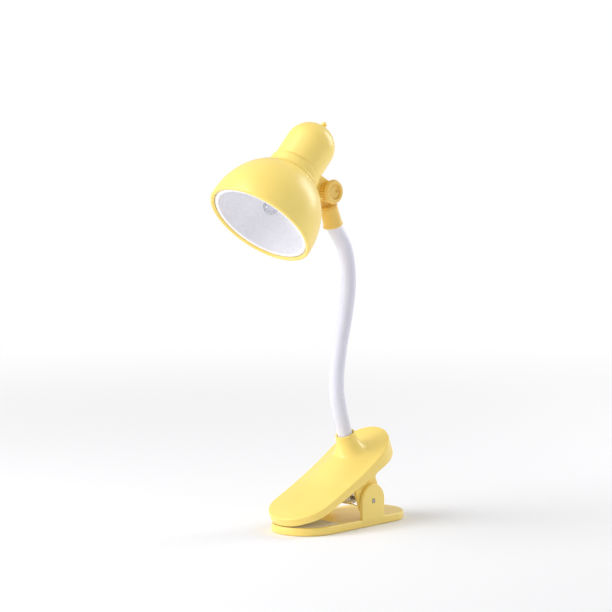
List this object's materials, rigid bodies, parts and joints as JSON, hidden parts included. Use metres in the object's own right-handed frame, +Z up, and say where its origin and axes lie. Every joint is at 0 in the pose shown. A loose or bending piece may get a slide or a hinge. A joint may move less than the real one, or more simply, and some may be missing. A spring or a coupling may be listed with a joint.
{
  "type": "clip-on reading lamp",
  "caption": "Clip-on reading lamp: a sprung plastic clip with soft pads, a flexible white neck and a bell shade that tilts on a thumb-knob hinge.",
  "frame": {"origin": "middle of the lower jaw's underside, on the surface that the lamp stands on", "axes": "+Z up; +X along the clip from its nose to its handles; the jaw's hinge pin lies along Y"},
  "size_m": [0.1534, 0.073, 0.2669],
  "materials": {
    "yellow_plastic": "satin moulded, pale warm yellow",
    "amber_plastic": "satin moulded, deeper yellow",
    "white_silicone": "smooth satin sleeve",
    "white_plastic": "semi-gloss moulded",
    "grey_rubber": "matt, fine grip ribs",
    "steel": "plated, drawn or turned",
    "clear_plastic": "polished clear",
    "circuit_board": "solder mask",
    "cell_pouch": "foil",
    "black_plastic": "moulded"
  },
  "bodies": {
    "lower_jaw": {"lower_jaw": "yellow_plastic", "lower_pad": "grey_rubber", "pivot_pin": "steel", "torsion_spring": "steel"},
    "upper_jaw": {"upper_jaw_shell": "yellow_plastic", "upper_jaw_cover": "yellow_plastic", "cover_screw_1": "steel", "cover_screw_2": "steel", "cover_screw_3": "steel", "cover_screw_4": "steel", "upper_pad": "grey_rubber", "battery_cell": "cell_pouch", "charge_board": "circuit_board", "charge_socket": "steel", "gland_nut": "steel", "neck_sleeve_1": "white_silicone", "neck_core_1": "steel"},
    "neck_2": {"neck_sleeve_2": "white_silicone", "neck_core_2": "steel"},
    "neck_3": {"neck_sleeve_3": "white_silicone", "neck_core_3": "steel"},
    "neck_4": {"neck_sleeve_4": "white_silicone", "neck_core_4": "steel"},
    "neck_5": {"neck_sleeve_5": "white_silicone", "neck_core_5": "steel"},
    "neck_6": {"neck_sleeve_6": "white_silicone", "neck_core_6": "steel"},
    "ferrule": {"neck_sleeve_7": "white_silicone", "ferrule": "amber_plastic", "hinge_bolt": "steel"},
    "knob": {"thumb_knob": "amber_plastic"},
    "head": {"bell_shade": "yellow_plastic", "shade_reflector": "white_plastic", "shade_ring": "yellow_plastic", "lamp_cap": "yellow_plastic", "lamp_holder": "white_plastic", "led_board": "circuit_board", "led_lens": "clear_plastic", "driver_board": "circuit_board", "switch_body": "black_plastic"},
    "button": {"switch_button": "yellow_plastic"}
  },
  "joints": [
    {"name": "jaw_hinge", "type": "hinge", "parent": "lower_jaw", "child": "upper_jaw", "pos_m": [0.0093, 0, 0.0168], "axis": [0, 1, 0], "range_deg": [0, 25], "stiffness_Nm_per_rad": 0.7, "springref_deg": -40.11, "deforming": ["torsion_spring"]},
    {"name": "neck_bend_1", "type": "hinge", "parent": "upper_jaw", "child": "neck_2", "pos_m": [0.003, 0, 0.06965], "axis": [0, 1, 0], "range_deg": [-20, 20]},
    {"name": "neck_sway_1", "type": "hinge", "parent": "neck_2", "child": "neck_3", "pos_m": [-0.00194, 0, 0.09463], "axis": [1, 0, 0.0012], "range_deg": [-15, 15]},
    {"name": "neck_bend_2", "type": "hinge", "parent": "neck_3", "child": "neck_4", "pos_m": [0.0017, 0, 0.1199], "axis": [0, 1, 0], "range_deg": [-20, 20]},
    {"name": "neck_sway_2", "type": "hinge", "parent": "neck_4", "child": "neck_5", "pos_m": [0.00777, 0, 0.14475], "axis": [0.9782, 0, -0.2077], "range_deg": [-15, 15]},
    {"name": "neck_bend_3", "type": "hinge", "parent": "neck_5", "child": "neck_6", "pos_m": [0.0092, 0, 0.17014], "axis": [0, 1, 0], "range_deg": [-20, 20]},
    {"name": "neck_sway_3", "type": "hinge", "parent": "neck_6", "child": "ferrule", "pos_m": [-0.0009, 0, 0.19314], "axis": [0.7813, 0, 0.6242], "range_deg": [-15, 15]},
    {"name": "head_tilt", "type": "hinge", "parent": "ferrule", "child": "head", "pos_m": [-0.01298, 0.00046, 0.22142], "axis": [0.0628, 0.998, 0], "range_deg": [-30, 70]},
    {"name": "knob_turn", "type": "hinge", "parent": "ferrule", "child": "knob", "pos_m": [-0.01298, 0.00046, 0.22142], "axis": [0.0628, 0.998, 0], "range_deg": [0, 180]},
    {"name": "switch_press", "type": "slide", "parent": "head", "child": "button", "axis": [-0.6781, 0.0427, -0.7337], "range_m": [0, 0.001], "stiffness_N_per_m": 600, "springref_m": -0.002}
  ]
}
